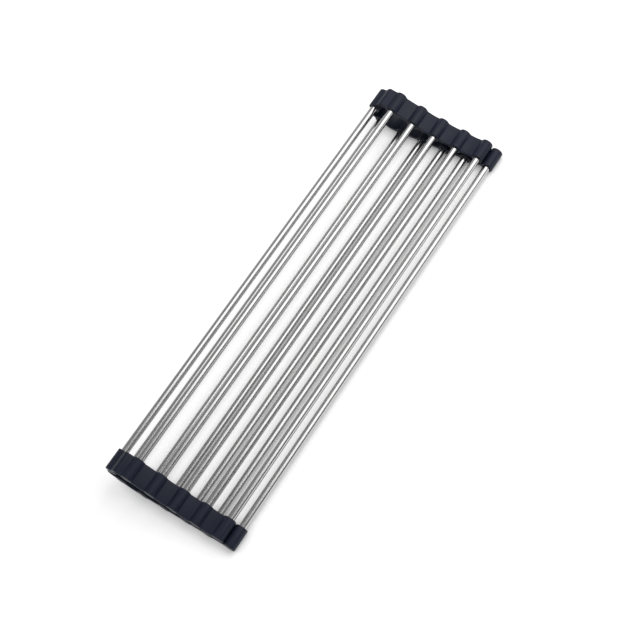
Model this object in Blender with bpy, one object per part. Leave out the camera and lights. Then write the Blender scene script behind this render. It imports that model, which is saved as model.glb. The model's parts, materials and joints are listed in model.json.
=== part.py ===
"""A roll up dish drying rack: twelve steel bars between two flexible silicone strips, folded in half.

Lengths are in metres. X runs across the bars, Y along them and Z up. The rack lies on z = 0 with its lower
layer flat, the fold at -X and both free ends at +X. Bar 1 is the free end of the lower layer, and bar 12
the free end of the upper one. Each strip is a row of links that hinge on each other in the webs between
the barrels, so the rack unrolls into one flat mat.
"""

import math

import bmesh
import bpy

MM = 0.001

# The mat as a whole.
PITCH = 24.0 * MM
FLOOR_BAR_COUNT = 5
ROD_SPAN = 408.4 * MM

# A bar is a drawn steel tube.
ROD_DIAMETER = 7.2 * MM
ROD_WALL = 0.6 * MM
ROD_SIDES = 20

# A strip link is a barrel, closed at its outer end, with a web towards each neighbour.
STRIP_WIDTH = 20.8 * MM
BARREL_DIAMETER = 11.5 * MM
CROWN_FLAT_DEPTH = 0.15 * MM
BARREL_END_ROUND = 0.7 * MM
BARREL_END_WALL = 3.0 * MM
WEB_THICKNESS = 3.5 * MM
WEB_INSET = 1.2 * MM
SIDE_STEPS = 2
SHOULDER_STEPS = 5
INNER_STEPS = 10

# The hinge in each web: knuckles that interleave along Y, about an axis on the web's inner surface.
# Each knuckle is a round nose that lies in a hollow seat of the next link.
CENTRE_KNUCKLE = 8.0 * MM
HINGE_CLEARANCE = 0.3 * MM
LIP_ANGLE = math.radians(55)
KNUCKLE_STEPS = 5

# Clearance between a bar and the bore that it sits in, round it and at its end.
BORE_CLEARANCE = 0.3 * MM

# How far the hinges of the folded rack are bent inwards, in degrees. The first two are those between bars
# 5, 6 and 7. The next one closes the fold until the free end rests on the lower layer. The last four are
# those of the upper layer, which sags open a little.
FOLD_DEGREES = (31.5, 96.5)
UPPER_DEGREES = (-1.0, -5.5, -6.0, -6.0)
REST_GAP = 0.5 * MM

# The links at a strip's two ends have one half web each: (name, backward half web, forward half web).
LINK_KINDS = (("first", False, True), ("middle", True, True), ("last", True, False))

ROD_RADIUS = ROD_DIAMETER / 2
BARREL_RADIUS = BARREL_DIAMETER / 2
CROWN_HEIGHT = BARREL_RADIUS - CROWN_FLAT_DEPTH
BORE_RADIUS = ROD_RADIUS + BORE_CLEARANCE
BORE_DEPTH = STRIP_WIDTH - BARREL_END_WALL
HALF_WEB = WEB_THICKNESS / 2
HALF_PITCH = PITCH / 2
ROD_END = ROD_SPAN / 2 + BORE_DEPTH - BORE_CLEARANCE
CLOSING_HINGE = FLOOR_BAR_COUNT + len(FOLD_DEGREES)
BAR_COUNT = CLOSING_HINGE + 1 + len(UPPER_DEGREES)

SILICONE_COLOUR = (0.028, 0.034, 0.052, 1.0)
SILICONE_ROUGHNESS = 0.5
STEEL_COLOUR = (0.62, 0.62, 0.61, 1.0)
STEEL_ROUGHNESS = 0.18

# A smooth surface breaks into two at edges sharper than this.
SHARP_ANGLE = math.radians(30)


def clear_scene():
    for old in list(bpy.data.objects):
        bpy.data.objects.remove(old)


def material(name, colour, roughness, metallic):
    made = bpy.data.materials.new(name)
    made.use_nodes = True
    shader = made.node_tree.nodes["Principled BSDF"]
    shader.inputs["Base Color"].default_value = colour
    shader.inputs["Roughness"].default_value = roughness
    shader.inputs["Metallic"].default_value = metallic
    made.diffuse_color = colour
    return made


def arc(start, end, steps):
    """Angles from start to end, in equal steps, with both ends."""
    return [start + (end - start) * step / steps for step in range(steps + 1)]


def ring(mesh, angles, radius, y):
    """A ring of points round the bar's axis."""
    return [mesh.verts.new((radius * math.cos(angle), y, radius * math.sin(angle))) for angle in angles]


def band(mesh, ring_a, ring_b, skipped=()):
    """The faces between two rings, without the sectors that open into a web."""
    for index, point in enumerate(ring_a):
        if index in skipped:
            continue
        after = (index + 1) % len(ring_a)
        mesh.faces.new((point, ring_a[after], ring_b[after], ring_b[index]))


def fan(mesh, points, y):
    """A flat disc that closes a ring."""
    centre = mesh.verts.new((0, y, 0))
    for index, point in enumerate(points):
        mesh.faces.new((point, points[(index + 1) % len(points)], centre))


def tube_mesh(name, outer_radius, inner_radius, half_length, sides):
    """A straight tube along Y, open at both ends."""
    mesh = bmesh.new()
    angles = arc(0, math.tau, sides)[:-1]
    rings = [
        ring(mesh, angles, outer_radius, -half_length),
        ring(mesh, angles, outer_radius, half_length),
        ring(mesh, angles, inner_radius, half_length),
        ring(mesh, angles, inner_radius, -half_length),
    ]
    for index, points in enumerate(rings):
        band(mesh, points, rings[(index + 1) % len(rings)])
    return finished(mesh, name)


def nose_outline():
    """A nose of the forward half web, from the outer surface to the inner one."""
    points = []
    for angle in arc(math.pi / 2, 0, KNUCKLE_STEPS):
        along = HALF_PITCH + WEB_THICKNESS * math.cos(angle)
        points.append((along, WEB_THICKNESS * math.sin(angle) - HALF_WEB))
    return points


def seat_outline():
    """A seat of the forward half web, from the outer surface to the inner one."""
    radius = WEB_THICKNESS + HINGE_CLEARANCE
    points = [(HALF_PITCH - radius * math.cos(LIP_ANGLE), HALF_WEB)]
    for angle in arc(LIP_ANGLE, 0, KNUCKLE_STEPS):
        points.append((HALF_PITCH - radius * math.cos(angle), radius * math.sin(angle) - HALF_WEB))
    return points


def mirrored(outline):
    """The same outline on the backward half web."""
    return [(-along, height) for along, height in outline]


def strip_of_faces(mesh, row_a, row_b):
    """The faces between two rows of points that run alongside each other."""
    for index in range(len(row_a) - 1):
        mesh.faces.new((row_a[index], row_a[index + 1], row_b[index + 1], row_b[index]))


def add_half_web(mesh, near_roots, far_roots, end_outline, centre_outline, rows):
    """A half web with its knuckles: a centre one between two alike at the ends.

    The roots are the barrel's points that it grows from, from the outer surface to the inner one. The rows
    are the four places along Y where a knuckle ends, and the first and last of them are the roots' places.
    """
    ends = [[mesh.verts.new((along, y, height)) for along, height in end_outline] for y in rows]
    centre = [[mesh.verts.new((along, y, height)) for along, height in centre_outline] for y in rows[1:3]]
    strip_of_faces(mesh, ends[0], ends[1])
    strip_of_faces(mesh, centre[0], centre[1])
    strip_of_faces(mesh, ends[2], ends[3])
    mesh.faces.new(ends[1] + centre[0][::-1])
    mesh.faces.new(ends[2] + centre[1][::-1])
    for surface in (0, -1):
        edge = [near_roots, ends[0], ends[1], centre[0], centre[1], ends[2], ends[3], far_roots]
        mesh.faces.new([points[surface] for points in edge])
    mesh.faces.new(ends[0] + near_roots[::-1])
    mesh.faces.new(ends[3] + far_roots[::-1])


def link_mesh(name, side, has_back, has_forward):
    """One strip link, with its bar's axis on Y. Side is -1 for the front strip and 1 for the rear one."""
    mesh = bmesh.new()
    junction = math.asin(HALF_WEB / BARREL_RADIUS)
    crown = math.asin(CROWN_HEIGHT / BARREL_RADIUS)
    angles = arc(-junction, junction, SIDE_STEPS)
    angles += arc(junction, crown, SHOULDER_STEPS)[1:]
    angles += arc(math.pi - crown, math.pi - junction, SHOULDER_STEPS)
    first_back = len(angles) - 1
    angles += arc(math.pi - junction, math.pi + junction, SIDE_STEPS)[1:]
    angles += arc(math.pi + junction, math.tau - junction, INNER_STEPS)[1:-1]
    forward_sectors = range(SIDE_STEPS)
    back_sectors = range(first_back, first_back + SIDE_STEPS)

    inner_y = side * ROD_SPAN / 2
    outer_y = side * (ROD_SPAN / 2 + STRIP_WIDTH)
    web_inner_y = side * (ROD_SPAN / 2 + WEB_INSET)
    web_outer_y = side * (ROD_SPAN / 2 + STRIP_WIDTH - WEB_INSET)
    bore_end_y = side * (ROD_SPAN / 2 + BORE_DEPTH)

    mouth = ring(mesh, angles, BORE_RADIUS, inner_y)
    inner_rim = ring(mesh, angles, BARREL_RADIUS - BARREL_END_ROUND, inner_y)
    inner_side = ring(mesh, angles, BARREL_RADIUS, web_inner_y)
    outer_side = ring(mesh, angles, BARREL_RADIUS, web_outer_y)
    outer_rim = ring(mesh, angles, BARREL_RADIUS - BARREL_END_ROUND, outer_y)
    bore_end = ring(mesh, angles, BORE_RADIUS, bore_end_y)

    open_sectors = set()
    if has_forward:
        open_sectors.update(forward_sectors)
    if has_back:
        open_sectors.update(back_sectors)
    band(mesh, mouth, inner_rim)
    band(mesh, inner_rim, inner_side)
    band(mesh, inner_side, outer_side, open_sectors)
    band(mesh, outer_side, outer_rim)
    band(mesh, bore_end, mouth)
    fan(mesh, outer_rim, outer_y)
    fan(mesh, bore_end, bore_end_y)

    middle = side * (ROD_SPAN + STRIP_WIDTH) / 2
    half_nose = side * CENTRE_KNUCKLE / 2
    half_seat = half_nose + side * HINGE_CLEARANCE
    if has_forward:
        roots = range(SIDE_STEPS, -1, -1)
        near, far = ([points[index] for index in roots] for points in (inner_side, outer_side))
        rows = (web_inner_y, middle - half_nose, middle + half_nose, web_outer_y)
        add_half_web(mesh, near, far, seat_outline(), nose_outline(), rows)
    if has_back:
        roots = range(first_back, first_back + SIDE_STEPS + 1)
        near, far = ([points[index] for index in roots] for points in (inner_side, outer_side))
        rows = (web_inner_y, middle - half_seat, middle + half_seat, web_outer_y)
        add_half_web(mesh, near, far, mirrored(nose_outline()), mirrored(seat_outline()), rows)
    return finished(mesh, name)


def finished(mesh, name):
    """The bmesh as a mesh with outward faces, smooth on its round sides."""
    bmesh.ops.recalc_face_normals(mesh, faces=mesh.faces)
    bmesh.ops.triangulate(mesh, faces=[face for face in mesh.faces if len(face.verts) > 4])
    data = bpy.data.meshes.new(name)
    mesh.to_mesh(data)
    mesh.free()
    data.shade_smooth()
    data.set_sharp_from_angle(angle=SHARP_ANGLE)
    return data


def add_empty(name, parent, place, turn):
    """A frame that a bar hangs on. It turns about Y, the direction of the bars."""
    frame = bpy.data.objects.new(name, None)
    frame.location = place
    frame.rotation_euler = (0, turn, 0)
    frame.parent = parent
    bpy.context.scene.collection.objects.link(frame)
    return frame


def add_piece(name, data, finish, frame, place):
    piece = bpy.data.objects.new(name, data)
    piece.location = place
    piece.parent = frame
    if not data.materials:
        data.materials.append(finish)
    bpy.context.scene.collection.objects.link(piece)
    return piece


def row_of_bars(bends):
    """Each bar's centre and each hinge's place as (x, z), in a row that goes to -X from bar 1 at zero."""
    heading = math.pi
    x, z = 0.0, 0.0
    bars = [(x, z)]
    hinges = []
    for bend in bends:
        x += HALF_PITCH * math.cos(heading) + HALF_WEB * math.sin(heading)
        z += HALF_PITCH * math.sin(heading) - HALF_WEB * math.cos(heading)
        hinges.append((x, z))
        heading -= bend
        x += HALF_PITCH * math.cos(heading) - HALF_WEB * math.sin(heading)
        z += HALF_PITCH * math.sin(heading) + HALF_WEB * math.cos(heading)
        bars.append((x, z))
    return bars, hinges


def hinge_bends(closing):
    """How far each hinge is bent inwards, in radians, from the hinge of bars 1 and 2 on."""
    bends = [0.0] * (FLOOR_BAR_COUNT - 1)
    bends += [math.radians(bend) for bend in FOLD_DEGREES]
    bends.append(closing)
    bends += [math.radians(bend) for bend in UPPER_DEGREES]
    return bends


def resting_bends():
    """The bends with the fold closed, so that the last bar's barrels rest on the lower layer.

    They rest on its webs or on the first bar's barrels, whichever they meet first.
    """
    bars, hinges = row_of_bars(hinge_bends(0.0))
    first, last, pivot = bars[0], bars[-1], hinges[CLOSING_HINGE - 1]
    reach = math.dist(pivot, last)
    to_first = math.dist(pivot, first)
    open_angle = math.atan2(last[1] - pivot[1], last[0] - pivot[0])
    first_angle = math.atan2(first[1] - pivot[1], first[0] - pivot[0])
    web_height = first[1] + HALF_WEB + REST_GAP + BARREL_RADIUS
    on_webs = math.asin((web_height - pivot[1]) / reach)
    apart = BARREL_DIAMETER + REST_GAP
    cosine = (reach ** 2 + to_first ** 2 - apart ** 2) / (2 * reach * to_first)
    on_barrel = first_angle + math.acos(min(1.0, cosine))
    return hinge_bends(open_angle - max(on_webs, on_barrel))


def build():
    clear_scene()
    silicone = material("silicone", SILICONE_COLOUR, SILICONE_ROUGHNESS, 0.0)
    steel = material("polished_steel", STEEL_COLOUR, STEEL_ROUGHNESS, 1.0)

    rod = tube_mesh("rod", ROD_RADIUS, ROD_RADIUS - ROD_WALL, ROD_END, ROD_SIDES)
    links = {}
    for side_name, side in (("front", -1), ("rear", 1)):
        for kind, has_back, has_forward in LINK_KINDS:
            links[side_name, kind] = link_mesh(f"{side_name}_{kind}_link", side, has_back, has_forward)

    bends = resting_bends()
    bars = row_of_bars(bends)[0]
    shift = -(min(x for x, z in bars) + max(x for x, z in bars)) / 2
    root_x = bars[FLOOR_BAR_COUNT - 1][0] + shift

    # The lower layer runs towards -X with its crowns on the floor, so its frame is turned half round.
    rack = add_empty("rack", None, (root_x, 0, CROWN_HEIGHT), math.pi)
    frames = {FLOOR_BAR_COUNT: (rack, (0, 0, 0))}
    forward_axis = (HALF_PITCH, 0, -HALF_WEB)
    back_axis = (-HALF_PITCH, 0, -HALF_WEB)
    to_forward_bar = (HALF_PITCH, 0, HALF_WEB)
    to_back_bar = (-HALF_PITCH, 0, HALF_WEB)

    for bar in range(FLOOR_BAR_COUNT + 1, BAR_COUNT + 1):
        parent, centre = frames[bar - 1]
        axis = [part + offset for part, offset in zip(centre, forward_axis)]
        frames[bar] = (add_empty(f"bar_{bar:02d}_hinge", parent, axis, bends[bar - 2]), to_forward_bar)
    for bar in range(FLOOR_BAR_COUNT - 1, 0, -1):
        parent, centre = frames[bar + 1]
        axis = [part + offset for part, offset in zip(centre, back_axis)]
        frames[bar] = (add_empty(f"bar_{bar:02d}_hinge", parent, axis, 0), to_back_bar)

    for bar in range(1, BAR_COUNT + 1):
        frame, centre = frames[bar]
        kind = {1: "first", BAR_COUNT: "last"}.get(bar, "middle")
        add_piece(f"rod_{bar:02d}", rod, steel, frame, centre)
        for side_name in ("front", "rear"):
            add_piece(f"{side_name}_strip_link_{bar:02d}", links[side_name, kind], silicone, frame, centre)


build()
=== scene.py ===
# %% [markdown]
# # A roll up dish drying rack, folded in half
#
# Twelve polished steel tubes lie side by side between two silicone strips. The strips are soft, so the whole
# mat rolls or folds. This lesson loads the CAD part as a fixed frame, makes the silicone again as the smooth
# moulding that it is and the tubes as round as they are, gives both materials their surfaces, and sets up the
# light and the camera.
#
# Lengths are in metres. X runs across the bars, Y along them and Z up.

# %% Load the frame
import json
import math

import bpy
import numpy as np
from mathutils import Matrix, Vector

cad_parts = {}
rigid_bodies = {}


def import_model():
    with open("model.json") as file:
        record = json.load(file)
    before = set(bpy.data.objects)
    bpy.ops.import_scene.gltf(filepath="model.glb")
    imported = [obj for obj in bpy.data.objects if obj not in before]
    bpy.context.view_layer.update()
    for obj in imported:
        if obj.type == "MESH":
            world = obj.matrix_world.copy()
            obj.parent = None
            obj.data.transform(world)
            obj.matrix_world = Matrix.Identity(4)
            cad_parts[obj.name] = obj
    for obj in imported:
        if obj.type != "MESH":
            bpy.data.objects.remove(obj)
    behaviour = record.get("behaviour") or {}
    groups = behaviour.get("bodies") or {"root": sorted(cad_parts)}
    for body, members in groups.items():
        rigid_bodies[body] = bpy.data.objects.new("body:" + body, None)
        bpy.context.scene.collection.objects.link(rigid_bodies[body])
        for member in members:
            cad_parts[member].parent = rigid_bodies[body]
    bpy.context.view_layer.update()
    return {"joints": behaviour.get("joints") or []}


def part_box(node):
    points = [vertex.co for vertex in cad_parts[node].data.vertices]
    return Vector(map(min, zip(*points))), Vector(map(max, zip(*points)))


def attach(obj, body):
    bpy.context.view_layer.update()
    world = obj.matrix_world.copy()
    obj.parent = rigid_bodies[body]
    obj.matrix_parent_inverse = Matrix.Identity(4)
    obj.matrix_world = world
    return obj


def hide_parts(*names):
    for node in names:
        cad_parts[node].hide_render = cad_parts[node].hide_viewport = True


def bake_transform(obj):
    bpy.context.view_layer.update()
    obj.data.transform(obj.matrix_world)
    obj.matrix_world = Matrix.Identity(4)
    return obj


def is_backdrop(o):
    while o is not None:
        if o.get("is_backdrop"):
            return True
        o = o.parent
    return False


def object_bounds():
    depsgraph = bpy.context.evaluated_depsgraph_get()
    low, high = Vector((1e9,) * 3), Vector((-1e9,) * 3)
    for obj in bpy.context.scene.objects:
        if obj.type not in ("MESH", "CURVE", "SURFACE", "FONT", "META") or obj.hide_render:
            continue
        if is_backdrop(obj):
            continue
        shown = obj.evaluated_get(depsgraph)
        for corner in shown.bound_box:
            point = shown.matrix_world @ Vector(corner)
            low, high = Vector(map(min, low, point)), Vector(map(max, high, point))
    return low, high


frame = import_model()

# %% [markdown]
# ## The sizes that the silicone shares with the bars
#
# The looks have to sit where the CAD part is, so they use its sizes. A strip is a row of barrels, one for each
# bar, with a thin web between neighbours. A web hinges about a line on its inner surface.

# %% Sizes of the strips
MM = 0.001
BAR_COUNT = 12
HALF_PITCH = 12.0 * MM
ROD_RADIUS = 3.6 * MM
ROD_SPAN = 408.4 * MM
STRIP_WIDTH = 20.8 * MM
BARREL_RADIUS = 5.75 * MM
CROWN_HEIGHT = 5.6 * MM
WEB_THICKNESS = 3.5 * MM
HALF_WEB = WEB_THICKNESS / 2
SIDES = {"front": -1, "rear": 1}
print(f"each strip ends {(ROD_SPAN / 2 + STRIP_WIDTH) / MM:.1f} mm from the middle")

# %% [markdown]
# ## Where the bars and the hinges are
#
# The middle of a rod's box is its bar's axis, and the frame's joints say where each hinge is. Twelve bars and
# eleven hinges give the whole folded section, so no place is written here by hand.

# %% Read the section from the frame
bar_axis = {}
for bar in range(1, BAR_COUNT + 1):
    low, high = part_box(f"rod_{bar:02d}")
    bar_axis[bar] = np.array([(low.x + high.x) / 2, (low.z + high.z) / 2])

hinge_place = {}
for joint in frame["joints"]:
    bar = min(int(joint["parent"][-2:]), int(joint["child"][-2:]))
    hinge_place[bar] = np.array([joint["pos_m"][0], joint["pos_m"][2]])
for bar in sorted(hinge_place):
    print(f"bar {bar:2d} at {bar_axis[bar] / MM} mm, its hinge to the next at {hinge_place[bar] / MM} mm")

# %% [markdown]
# A link has two directions of its own: along the web to the next bar, and outwards from the web. The hinge
# lies half a pitch along and half a web inwards from the bar, so turning the line between them by a known
# angle gives the link's direction.

# %% Directions of each link
HINGE_ANGLE = math.atan2(HALF_WEB, HALF_PITCH)


def turned(vector, angle):
    """The vector (x, z), turned anticlockwise by that angle."""
    c, s = math.cos(angle), math.sin(angle)
    return np.array([c * vector[0] - s * vector[1], s * vector[0] + c * vector[1]])


def angle_between(a, b):
    """How far b is turned clockwise from a."""
    return math.atan2(a[1] * b[0] - a[0] * b[1], a @ b)


along = {}
for bar in range(1, BAR_COUNT):
    along[bar] = turned(hinge_place[bar] - bar_axis[bar], HINGE_ANGLE)
along[BAR_COUNT] = turned(bar_axis[BAR_COUNT] - hinge_place[BAR_COUNT - 1], -HINGE_ANGLE)
along = {bar: line / np.linalg.norm(line) for bar, line in along.items()}
outward = {bar: turned(line, math.pi / 2) for bar, line in along.items()}
bend = {bar: angle_between(along[bar], along[bar + 1]) for bar in range(1, BAR_COUNT)}
print("bends in degrees:", [round(math.degrees(bend[bar]), 1) for bar in sorted(bend)])

# %% [markdown]
# ## The barrels
#
# Each bar's end sits in a barrel of silicone that is closed at its outer end. A barrel is turned from one
# outline, as on a lathe: a rounded mouth that grips the tube, the plain side, and an outer end with a soft
# edge and a slightly domed face. A cylinder with bevels would do too, but the outline gives the mouth, both
# soft edges and the dome in one go.

# %% One barrel's outline: distance from its mouth, and radius
MOUTH_ROUND = 0.6 * MM
END_ROUND = 0.8 * MM
END_DOME = 0.25 * MM
DOME_RINGS = (0.6, 0.3)
GRIP_PLAY = 0.02 * MM
GRIP_RADIUS = ROD_RADIUS + GRIP_PLAY
GRIP_DEPTH = 2.0 * MM
LIP_DEPTH = 0.3 * MM
LIP_FLARE = 0.35 * MM
ROUND_STEPS = 5

quarter_turn = [math.pi / 2 * step / ROUND_STEPS for step in range(ROUND_STEPS + 1)]
barrel_outline = [(GRIP_DEPTH, GRIP_RADIUS), (LIP_DEPTH, GRIP_RADIUS), (0.0, GRIP_RADIUS + LIP_FLARE)]
for angle in quarter_turn:
    from_mouth = MOUTH_ROUND * (1 - math.cos(angle))
    barrel_outline.append((from_mouth, BARREL_RADIUS - MOUTH_ROUND * (1 - math.sin(angle))))
barrel_outline.append((STRIP_WIDTH / 2, BARREL_RADIUS))
for angle in reversed(quarter_turn):
    from_mouth = STRIP_WIDTH - END_DOME - END_ROUND * (1 - math.cos(angle))
    barrel_outline.append((from_mouth, BARREL_RADIUS - END_ROUND * (1 - math.sin(angle))))
for share in DOME_RINGS:
    barrel_outline.append((STRIP_WIDTH - END_DOME * share ** 2, BARREL_RADIUS * share))
print("points in a barrel's outline:", len(barrel_outline))

# %% [markdown]
# Turning the outline round the bar's axis gives rings of points. The crown, which the strip rests on, is a
# narrow flat, so the points above it are pressed down to it.

# %% Turn a barrel
BARREL_SIDES = 48


def smooth_mesh(name, points, faces):
    """A mesh of these points and faces, shaded smooth."""
    mesh = bpy.data.meshes.new(name)
    mesh.from_pydata([tuple(point) for point in points], [], faces)
    mesh.validate()
    mesh.shade_smooth()
    return mesh


def count_faces(kind, mesh):
    """Print how many faces a trial mesh has, and take it away again."""
    print(f"faces in a {kind}:", len(mesh.polygons))
    bpy.data.meshes.remove(mesh)


def barrel_mesh(name, bar, side):
    """The barrel at one end of a bar. Side is -1 for the front strip and 1 for the rear one."""
    points, faces = [], []
    mouth_y = ROD_SPAN / 2
    for from_mouth, radius in barrel_outline:
        for corner in range(BARREL_SIDES):
            angle = math.tau * corner / BARREL_SIDES
            level = min(radius * math.sin(angle), CROWN_HEIGHT)
            x, z = bar_axis[bar] + radius * math.cos(angle) * along[bar] + level * outward[bar]
            points.append((x, side * (mouth_y + from_mouth), z))
    points.append((bar_axis[bar][0], side * (mouth_y + STRIP_WIDTH), bar_axis[bar][1]))
    points.append((bar_axis[bar][0], side * (mouth_y + barrel_outline[0][0]), bar_axis[bar][1]))
    outer_middle, inner_middle = len(points) - 2, len(points) - 1
    last = (len(barrel_outline) - 1) * BARREL_SIDES
    for corner in range(BARREL_SIDES):
        after = (corner + 1) % BARREL_SIDES
        for ring in range(0, last, BARREL_SIDES):
            quad = (ring + corner, ring + after, ring + BARREL_SIDES + after, ring + BARREL_SIDES + corner)
            faces.append(quad[::side])
        faces.append((last + corner, last + after, outer_middle)[::side])
        faces.append((after, corner, inner_middle)[::side])
    return smooth_mesh(name, points, faces)


count_faces("barrel", barrel_mesh("trial", 1, SIDES["rear"]))

# %% [markdown]
# ## The webs
#
# A web is a short flat tongue of silicone that runs from barrel to barrel and bends where the mat folds. It
# starts as a flat outline: its distance from the hinge, and its half thickness. Near a barrel it flares out in
# a small round, as a moulded corner does, and its end is hidden inside the barrel.
#
# Soft rubber takes the short way round a fold, so the middle of a bent web lies a little inside the corner
# that its two halves would make. That inset is the sag, and it grows with the bend.

# %% A flat web's outline: distance from the hinge, and half thickness
CORNER_ROUND = 1.2 * MM
HIDDEN_END = 7.9 * MM
CORNER_STEPS = 4
SAG_PER_RADIAN = 0.65 * MM

to_corner = math.sqrt((BARREL_RADIUS + CORNER_ROUND) ** 2 - (HALF_WEB + CORNER_ROUND) ** 2)
plain_reach = HALF_PITCH - to_corner
corner_sweep = math.acos((HALF_WEB + CORNER_ROUND) / (BARREL_RADIUS + CORNER_ROUND))
web_corner = []
for step in range(CORNER_STEPS + 1):
    angle = corner_sweep * step / CORNER_STEPS
    reach = plain_reach + CORNER_ROUND * math.sin(angle)
    web_corner.append((reach, HALF_WEB + CORNER_ROUND * (1 - math.cos(angle))))
web_corner.append((HIDDEN_END, web_corner[-1][1]))
print(f"a web is plain for {plain_reach / MM:.2f} mm on each side of its hinge")

# %% [markdown]
# So the folded web is made with the same rule, which would take it back to flat, but for its sag, if the mat
# were opened. The rule gives the share from the bent place, which itself depends on the share, so it is found
# by halving an interval.

# %% Bend a web
HALVINGS = 40


def bending_zone(angle):
    """How far from the hinge the bending starts, measured straight across the fold."""
    return max(plain_reach * math.cos(angle / 2), WEB_THICKNESS * abs(angle))


def sag(reach, angle):
    """How far the middle of a web lies inwards, as it takes the short way round a fold."""
    share = np.clip(1 - np.abs(reach) / plain_reach, 0, 1)
    return SAG_PER_RADIAN * abs(angle) * share * share * (3 - 2 * share)


def bent(reach, height, angle):
    """Flat web points, at a reach along and a height above the hinge, after the web is bent by the angle.

    They come back as distances across the fold and up out of it.
    """
    zone = bending_zone(angle)
    height = height - sag(reach, angle)
    low, high = np.zeros_like(reach), np.ones_like(reach)
    for _ in range(HALVINGS):
        share = (low + high) / 2
        turn = angle * (share - 0.5)
        across = reach * np.cos(turn) + height * np.sin(turn)
        place = np.clip((across + zone) / (2 * zone), 0, 1)
        too_low = share < place * place * (3 - 2 * place)
        low, high = np.where(too_low, share, low), np.where(too_low, high, share)
    turn = angle * ((low + high) / 2 - 0.5)
    return reach * np.cos(turn) + height * np.sin(turn), height * np.cos(turn) - reach * np.sin(turn)


SHARPEST = max(bend, key=bend.get)
across, up = bent(np.array([0.0, 0.0]), np.array([0.0, WEB_THICKNESS]), bend[SHARPEST])
print("over the sharpest fold, the web's surfaces are", np.round(up / MM, 2), "mm above the hinge")

# %% [markdown]
# The outer surface stretches over a fold, so even steps along the flat web would leave long faces just where
# it is most round. The columns of points are spaced evenly along the bent surface instead. The web's long
# edges are rounded, and lie just inside the ends of the barrels.

# %% Make a web
WEB_COLUMNS = 28
SURFACE_SAMPLES = 600
EDGE_ROUND = 0.8 * MM
MOUTH_INSET = 0.4 * MM
OUTER_INSET = 0.2 * MM


def even_columns(surface, angle):
    """Reaches along the flat web that lie evenly spaced on its bent surface, which is 1 outer or -1 inner."""
    reach = np.linspace(-plain_reach, plain_reach, SURFACE_SAMPLES)
    across, up = bent(reach, np.full_like(reach, HALF_WEB + surface * HALF_WEB), angle)
    length = np.concatenate([[0.0], np.cumsum(np.hypot(np.diff(across), np.diff(up)))])
    columns = np.interp(np.linspace(0, length[-1], WEB_COLUMNS), length, reach)
    corner_reach = np.array([reach for reach, half in web_corner[1:]])
    corner_half = np.array([half for reach, half in web_corner[1:]])
    half = np.concatenate([corner_half[::-1], np.full(WEB_COLUMNS, HALF_WEB), corner_half])
    return np.concatenate([-corner_reach[::-1], columns, corner_reach]), half


def web_mesh(name, bar, side):
    """The web from a bar to the next one, in the front or the rear strip."""
    angle = bend[bar]
    across_line = turned(along[bar], -angle / 2)
    up_line = turned(across_line, math.pi / 2)
    edge = [(EDGE_ROUND * (1 - math.cos(a)), EDGE_ROUND * (1 - math.sin(a))) for a in quarter_turn]
    mouth, end = ROD_SPAN / 2 + MOUTH_INSET, ROD_SPAN / 2 + STRIP_WIDTH - OUTER_INSET
    rows = [(mouth + from_edge, inset) for from_edge, inset in edge]
    rows += [(end - from_edge, inset) for from_edge, inset in reversed(edge)]
    points = []
    for y, inset in rows:
        for surface in (1, -1):
            reach, half = even_columns(surface, angle)
            across, up = bent(reach, HALF_WEB + surface * (half - inset), angle)
            for a, u in zip(across, up):
                x, z = hinge_place[bar] + a * across_line + u * up_line
                points.append((x, side * y, z))
    count = len(reach)
    row = 2 * count
    faces = []
    for start in range(0, (len(rows) - 1) * row, row):
        for column in range(count - 1):
            outer, inner = start + column, start + count + column
            faces.append((outer, outer + 1, outer + 1 + row, outer + row)[::-side])
            faces.append((inner + 1, inner, inner + row, inner + 1 + row)[::-side])
        for outer, inner in ((start, start + count), (start + row - 1, start + count - 1)):
            faces.append((inner, outer, outer + row, inner + row)[::-side])
    for start in (0, (len(rows) - 1) * row):
        turn = side if start else -side
        for column in range(count - 1):
            outer, inner = start + column, start + count + column
            faces.append((outer, inner, inner + 1, outer + 1)[::turn])
    return smooth_mesh(name, points, faces)


count_faces("web", web_mesh("trial", SHARPEST, SIDES["rear"]))

# %% [markdown]
# ## The tubes
#
# Polished metal shows every flat on it, and a CAD rod has flat sides. So each tube is made again at the same
# size, with more sides and shaded smooth, while the rims of its open ends stay sharp. A smooth normal from the
# material would do for the render, but a mesh is round in its own shape as well.

# %% Make a tube
TUBE_SIDES = 64
TUBE_WALL = 0.6 * MM
SHARP_RIM = math.radians(40)


def tube_mesh(name, bar):
    """A bar's steel tube, open at both ends and as long as its CAD rod."""
    low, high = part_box(f"rod_{bar:02d}")
    bore_radius = ROD_RADIUS - TUBE_WALL
    rings = [(low.y, ROD_RADIUS), (high.y, ROD_RADIUS), (high.y, bore_radius), (low.y, bore_radius)]
    points, faces = [], []
    for y, radius in rings:
        for corner in range(TUBE_SIDES):
            angle = math.tau * corner / TUBE_SIDES
            x, z = bar_axis[bar] + radius * np.array([math.cos(angle), math.sin(angle)])
            points.append((x, y, z))
    for ring in range(len(rings)):
        start, end = ring * TUBE_SIDES, (ring + 1) % len(rings) * TUBE_SIDES
        for corner in range(TUBE_SIDES):
            after = (corner + 1) % TUBE_SIDES
            faces.append((start + corner, end + corner, end + after, start + after))
    mesh = smooth_mesh(name, points, faces)
    mesh.set_sharp_from_angle(angle=SHARP_RIM)
    return mesh


count_faces("tube", tube_mesh("trial", 1))

# %% [markdown]
# ## Materials
#
# Colours are written as sRGB hex, which is what an eye or a colour picker sees. Blender works in linear light,
# so one function turns them. A second small function adds a shader node with its settings and links. Both
# materials vary in colour, gloss and relief in the same way, each by noises of its own, so two more functions
# join a noise to the shader.

# %% Colour and node helpers


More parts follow.
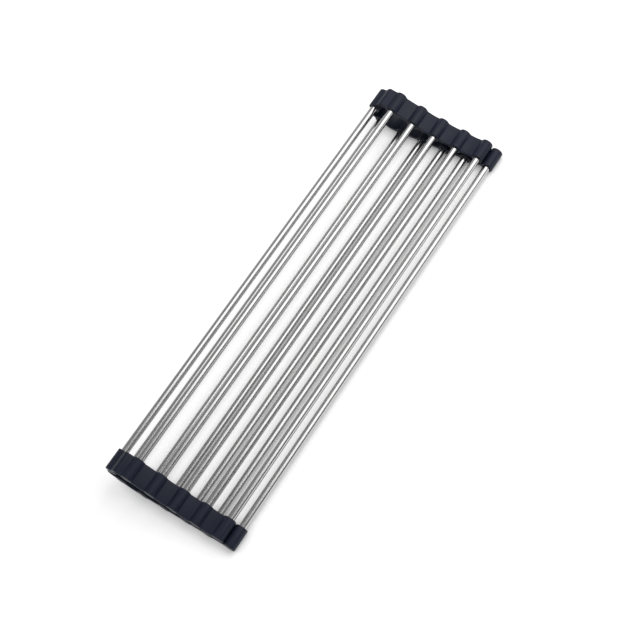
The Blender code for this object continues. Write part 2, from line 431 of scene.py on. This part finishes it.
def linear(hex_colour):
    """An sRGB hex colour as linear RGBA."""
    parts = [int(hex_colour[place:place + 2], 16) / 255 for place in (1, 3, 5)]
    return [part / 12.92 if part <= 0.04045 else ((part + 0.055) / 1.055) ** 2.4 for part in parts] + [1.0]


def add_node(tree, kind, settings=(), links=()):
    """A node of that kind. Settings are (socket or property, value) pairs, and links are (socket, output).

    A socket is given by its name, or by its number where some share a name.
    """
    node = tree.nodes.new(kind)
    for name, value in settings:
        if isinstance(name, int) or name in node.inputs:
            node.inputs[name].default_value = value
        else:
            setattr(node, name, value)
    for name, output in links:
        tree.links.new(output, node.inputs[name])
    return node


def tint_and_gloss(tree, tint_noise, colours, gloss_noise, roughness):
    """Let one noise mix the two colours, and the other set the roughness between two values."""
    shader = tree.nodes["Principled BSDF"]
    tint = add_node(tree, "ShaderNodeMix", [
        ("data_type", "RGBA"), (6, linear(colours[0])), (7, linear(colours[1]))],
        [(0, tint_noise.outputs["Fac"])])
    tree.links.new(tint.outputs[2], shader.inputs["Base Color"])
    gloss = add_node(tree, "ShaderNodeMapRange", [("To Min", roughness[0]), ("To Max", roughness[1])],
                     [("Value", gloss_noise.outputs["Fac"])])
    tree.links.new(gloss.outputs["Result"], shader.inputs["Roughness"])


def raise_surface(tree, noise, strength, depth):
    """Let a noise raise and lower the surface in its shading."""
    relief = add_node(tree, "ShaderNodeBump", [("Strength", strength), ("Distance", depth)],
                      [("Height", noise.outputs["Fac"])])
    tree.links.new(relief.outputs["Normal"], tree.nodes["Principled BSDF"].inputs["Normal"])


print("sRGB middle grey is", [round(part, 3) for part in linear("#808080")])

# %% [markdown]
# ### Silicone rubber, moulded
#
# The strips are silicone rubber, compression moulded in a lightly spark-eroded tool. That leaves a very fine
# even grain, about 0.1 mm, which makes the rubber matt. The grain is too fine to show in the render, so it is
# drawn at 0.35 mm. Silicone also draws lint and skin oils, so its gloss varies in soft patches of about 12 mm,
# and its colour by a very little. Its IOR is 1.41. The grain hides a little of its shine, so its specular
# level is 0.4.

# %% Moulded silicone rubber
SILICONE_DARK = "#181e2e"
SILICONE_LIGHT = "#22283a"
SILICONE_IOR = 1.41
SILICONE_SPECULAR = 0.4
SILICONE_ROUGHNESS = (0.42, 0.58)
GRAIN_SIZE = 0.35 * MM
GRAIN_DEPTH = 0.03 * MM
GRAIN_STRENGTH = 0.25
PATCH_SIZE = 12.0 * MM

moulded_silicone = bpy.data.materials.new("moulded_silicone_rubber")
moulded_silicone.use_nodes = True
tree = moulded_silicone.node_tree
shader = tree.nodes["Principled BSDF"]
shader.inputs["IOR"].default_value = SILICONE_IOR
shader.inputs["Specular IOR Level"].default_value = SILICONE_SPECULAR
place = [("Vector", add_node(tree, "ShaderNodeTexCoord").outputs["Object"])]
patches = add_node(tree, "ShaderNodeTexNoise", [("Scale", 1 / PATCH_SIZE), ("Detail", 3.0)], place)
grain = add_node(tree, "ShaderNodeTexNoise", [("Scale", 1 / GRAIN_SIZE), ("Detail", 1.0)], place)
tint_and_gloss(tree, patches, (SILICONE_DARK, SILICONE_LIGHT), patches, SILICONE_ROUGHNESS)
raise_surface(tree, grain, GRAIN_STRENGTH, GRAIN_DEPTH)
print("nodes in the silicone:", len(tree.nodes))

# %% [markdown]
# ### Stainless steel tube, drawn and polished
#
# The bars are stainless steel tube. Drawing it through a die leaves faint lines along its length, and
# polishing leaves them just deep enough to blur a reflection round the tube. They are about 0.05 mm apart,
# and are drawn at 0.4 mm across and 50 mm along. Water marks and handling change the gloss over some 30 mm.
# The metal keeps the default IOR.

# %% Polished stainless tube
STEEL_SHADE = "#bebdbd"
STEEL_COLOUR = "#c7c6c6"
STEEL_ROUGHNESS = (0.14, 0.26)
DRAW_LINE_WIDTH = 0.4 * MM
DRAW_LINE_LENGTH = 50.0 * MM
DRAW_LINE_DEPTH = 0.01 * MM
DRAW_LINE_STRENGTH = 0.04
MARK_SIZE = 30.0 * MM

polished_steel = bpy.data.materials.new("polished_stainless_tube")
polished_steel.use_nodes = True
tree = polished_steel.node_tree
shader = tree.nodes["Principled BSDF"]
shader.inputs["Metallic"].default_value = 1.0
place = [("Vector", add_node(tree, "ShaderNodeTexCoord").outputs["Object"])]
stretch = add_node(tree, "ShaderNodeMapping", [
    ("Scale", (1 / DRAW_LINE_WIDTH, 1 / DRAW_LINE_LENGTH, 1 / DRAW_LINE_WIDTH))], place)
lines = add_node(tree, "ShaderNodeTexNoise", [("Scale", 1.0), ("Detail", 2.0)],
                 [("Vector", stretch.outputs["Vector"])])
marks = add_node(tree, "ShaderNodeTexNoise", [("Scale", 1 / MARK_SIZE), ("Detail", 4.0)], place)
tint_and_gloss(tree, lines, (STEEL_SHADE, STEEL_COLOUR), marks, STEEL_ROUGHNESS)
raise_surface(tree, lines, DRAW_LINE_STRENGTH, DRAW_LINE_DEPTH)
print("nodes in the steel:", len(tree.nodes))

# %% [markdown]
# ## Put the pieces on the frame
#
# A tube stands for each rod and rides on its bar. The CAD strips are cut into links with hinge knuckles, which
# stand in for the bending of one soft moulding. A barrel stands for each link and rides on its bar. A web is
# made already bent between its two bars, and stays where it is made.

# %% Place the tubes


def add_piece(mesh, material):
    """An object in the scene, of that material."""
    piece = bpy.data.objects.new(mesh.name, mesh)
    bpy.context.scene.collection.objects.link(piece)
    mesh.materials.append(material)
    return piece


for bar in range(1, BAR_COUNT + 1):
    tube = add_piece(tube_mesh(f"tube_{bar:02d}", bar), polished_steel)
    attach(tube, f"bar_{bar:02d}")
    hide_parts(f"rod_{bar:02d}")
print("tubes:", BAR_COUNT)

# %% Place the barrels and the webs
for strip, side in SIDES.items():
    for bar in range(1, BAR_COUNT + 1):
        barrel = add_piece(barrel_mesh(f"{strip}_barrel_{bar:02d}", bar, side), moulded_silicone)
        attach(barrel, f"bar_{bar:02d}")
        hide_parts(f"{strip}_strip_link_{bar:02d}")
    for bar in range(1, BAR_COUNT):
        web_name = f"{strip}_web_{bar:02d}_{bar + 1:02d}"
        web = add_piece(web_mesh(web_name, bar, side), moulded_silicone)
        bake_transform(web)
    print(strip, "strip:", BAR_COUNT, "barrels and", BAR_COUNT - 1, "webs")

# %% [markdown]
# ## Floor, light and camera
#
# The photograph has a plain white background, so the floor is white. What the camera sees of it is partly a
# white of its own and partly lit, so that it still carries the rack's shadow. The lamp lights the floor less
# further out, so there its own share rises, from one distance and strength to another, to keep it white.
# Glossy and transmission rays see the same floor, so the steel shows it. Light that the floor sends back to
# the rack is that of a grey table, because the silicone in the photograph is dark underneath.
#
# The floor's own white fades within 10 mm of the rack, as a contact shadow does. So the slits between the tubes
# of the two layers are grey, as in the photograph, and the wide gaps stay white.

# %% Floor
FLOOR_HALF = 30.0
FLOOR_SEEN = "#ededed"
FLOOR_UNSEEN = "#959595"
OWN_WHITE_FROM = (0.35, 0.55)
OWN_WHITE_TO = (1.2, 0.75)
CONTACT_SHADOW = 10.0 * MM
floor_mesh = bpy.data.meshes.new("floor")
floor_mesh.from_pydata([(-FLOOR_HALF, -FLOOR_HALF, 0), (FLOOR_HALF, -FLOOR_HALF, 0),
                        (FLOOR_HALF, FLOOR_HALF, 0), (-FLOOR_HALF, FLOOR_HALF, 0)], [], [(0, 1, 2, 3)])
floor = bpy.data.objects.new("floor", floor_mesh)
bpy.context.scene.collection.objects.link(floor)
floor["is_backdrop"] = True

white_floor = bpy.data.materials.new("white_studio_floor")
white_floor.use_nodes = True
tree = white_floor.node_tree
tree.nodes.clear()
rays = add_node(tree, "ShaderNodeLightPath").outputs
seen = add_node(tree, "ShaderNodeMath", [("operation", "MAXIMUM")],
                [(0, rays["Is Camera Ray"]), (1, rays["Is Glossy Ray"])])
seen_or_through = add_node(tree, "ShaderNodeMath", [("operation", "MAXIMUM")],
                           [(0, seen.outputs[0]), (1, rays["Is Transmission Ray"])])
unseen_floor = add_node(tree, "ShaderNodeBsdfDiffuse", [("Color", linear(FLOOR_UNSEEN))])
lit_white = add_node(tree, "ShaderNodeBsdfDiffuse", [("Color", linear(FLOOR_SEEN))])
from_middle = add_node(tree, "ShaderNodeVectorMath", [("operation", "LENGTH")],
                       [("Vector", add_node(tree, "ShaderNodeTexCoord").outputs["Object"])])
strength = add_node(tree, "ShaderNodeMapRange", [
    ("From Min", OWN_WHITE_FROM[0]), ("From Max", OWN_WHITE_TO[0]),
    ("To Min", OWN_WHITE_FROM[1]), ("To Max", OWN_WHITE_TO[1])], [("Value", from_middle.outputs["Value"])])
contact = add_node(tree, "ShaderNodeAmbientOcclusion", [("Distance", CONTACT_SHADOW)])
own_share = add_node(tree, "ShaderNodeMath", [("operation", "MULTIPLY")],
                     [(0, strength.outputs["Result"]), (1, contact.outputs["AO"])])
own_white = add_node(tree, "ShaderNodeEmission", [("Color", linear("#ffffff"))],
                     [("Strength", own_share.outputs[0])])
both = add_node(tree, "ShaderNodeAddShader", links=[(0, lit_white.outputs[0]), (1, own_white.outputs[0])])
choice = add_node(tree, "ShaderNodeMixShader", links=[
    (0, seen_or_through.outputs[0]), (1, unseen_floor.outputs[0]), (2, both.outputs[0])])
add_node(tree, "ShaderNodeOutputMaterial", links=[("Surface", choice.outputs[0])])
floor_mesh.materials.append(white_floor)
print("floor is", 2 * FLOOR_HALF, "m wide")

# %% [markdown]
# The steel in the photograph has a bright line along the top of each tube and grey sides, which is how polished
# metal shows one large soft light over a darker room. So the main light is a softbox overhead, beyond the
# rack as the camera sees it. The room round it is grey, and paler on the side of the fold: in the photograph
# the edges of the tubes are paler on that side, and each barrel shades the web on its other side. A darker band
# crosses the room overhead, as a photographer at the table makes. The tubes show it by the near strip, where
# they turn grey in the photograph.

# %% Softbox and room
SOFTBOX_PLACE = Vector((0.60, 0.66, 1.08))
SOFTBOX_AIM = Vector((0.60, 0, 0))
SOFTBOX_WIDTH = 1.6
SOFTBOX_LENGTH = 1.3
SOFTBOX_WATTS = 11.5
ROOM_AT_FOLD = 0.48
ROOM_AT_FREE_ENDS = 0.25
BAND_PLACE = 0.05
BAND_HALF_WIDTH = 0.45
BAND_SHARE = 0.58
BESIDE_BAND_SHARE = 1.22

lamp = bpy.data.lights.new("softbox", "AREA")
lamp.shape = "RECTANGLE"
lamp.size, lamp.size_y = SOFTBOX_WIDTH, SOFTBOX_LENGTH
lamp.energy = SOFTBOX_WATTS
softbox = bpy.data.objects.new("softbox", lamp)
softbox.location = SOFTBOX_PLACE
softbox.rotation_euler = (SOFTBOX_AIM - SOFTBOX_PLACE).to_track_quat("-Z", "Y").to_euler()
bpy.context.scene.collection.objects.link(softbox)

room = bpy.data.worlds.new("grey_room")
room.use_nodes = True
tree = room.node_tree
tree.nodes["Background"].inputs["Color"].default_value = linear("#ffffff")
direction = add_node(tree, "ShaderNodeSeparateXYZ", links=[
    ("Vector", add_node(tree, "ShaderNodeTexCoord").outputs["Generated"])])
shade = add_node(tree, "ShaderNodeMapRange", [
    ("From Min", -1.0), ("From Max", 1.0), ("To Min", ROOM_AT_FOLD), ("To Max", ROOM_AT_FREE_ENDS)],
    [("Value", direction.outputs["X"])])
from_band = add_node(tree, "ShaderNodeMath", [("operation", "SUBTRACT"), (1, BAND_PLACE)],
                     [(0, direction.outputs["Y"])])
to_either_side = add_node(tree, "ShaderNodeMath", [("operation", "ABSOLUTE")], [(0, from_band.outputs[0])])
band = add_node(tree, "ShaderNodeMapRange", [
    ("From Max", BAND_HALF_WIDTH), ("To Min", BAND_SHARE), ("To Max", BESIDE_BAND_SHARE)],
    [("Value", to_either_side.outputs[0])])
room_light = add_node(tree, "ShaderNodeMath", [("operation", "MULTIPLY")],
                      [(0, shade.outputs["Result"]), (1, band.outputs["Result"])])
tree.links.new(room_light.outputs[0], tree.nodes["Background"].inputs["Strength"])
bpy.context.scene.world = room
bpy.context.scene.view_settings.view_transform = "Standard"
print("one softbox and a grey room")

# %% [markdown]
# The camera was fitted to the photograph: the lines of the bars and the corners of both strips give its place,
# its three directions and its lens together.

# %% Camera
CAMERA_PLACE = Vector((0.513236, -0.362839, 1.022588))
CAMERA_RIGHT = Vector((0.811275, 0.545385, -0.210686))
CAMERA_AHEAD = Vector((-0.423676, 0.300065, -0.854669))
LENS_MM = 73.448
SENSOR_WIDTH_MM = 36.0
FARTHEST_SEEN = 100.0

camera = bpy.data.objects.new("camera", bpy.data.cameras.new("camera"))
bpy.context.scene.collection.objects.link(camera)
bpy.context.scene.camera = camera
right = CAMERA_RIGHT.normalized()
up = right.cross(CAMERA_AHEAD).normalized()
turn = Matrix((right, up, -up.cross(right))).transposed().to_4x4()
camera.matrix_world = Matrix.Translation(CAMERA_PLACE) @ turn
camera.data.sensor_width = SENSOR_WIDTH_MM
camera.data.lens = LENS_MM
camera.data.clip_end = FARTHEST_SEEN
print("camera at", [round(part, 3) for part in camera.location])

# %% Check the size and finish
low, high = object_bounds()
print("visual box in mm:", [round(1000 * size, 1) for size in high - low])
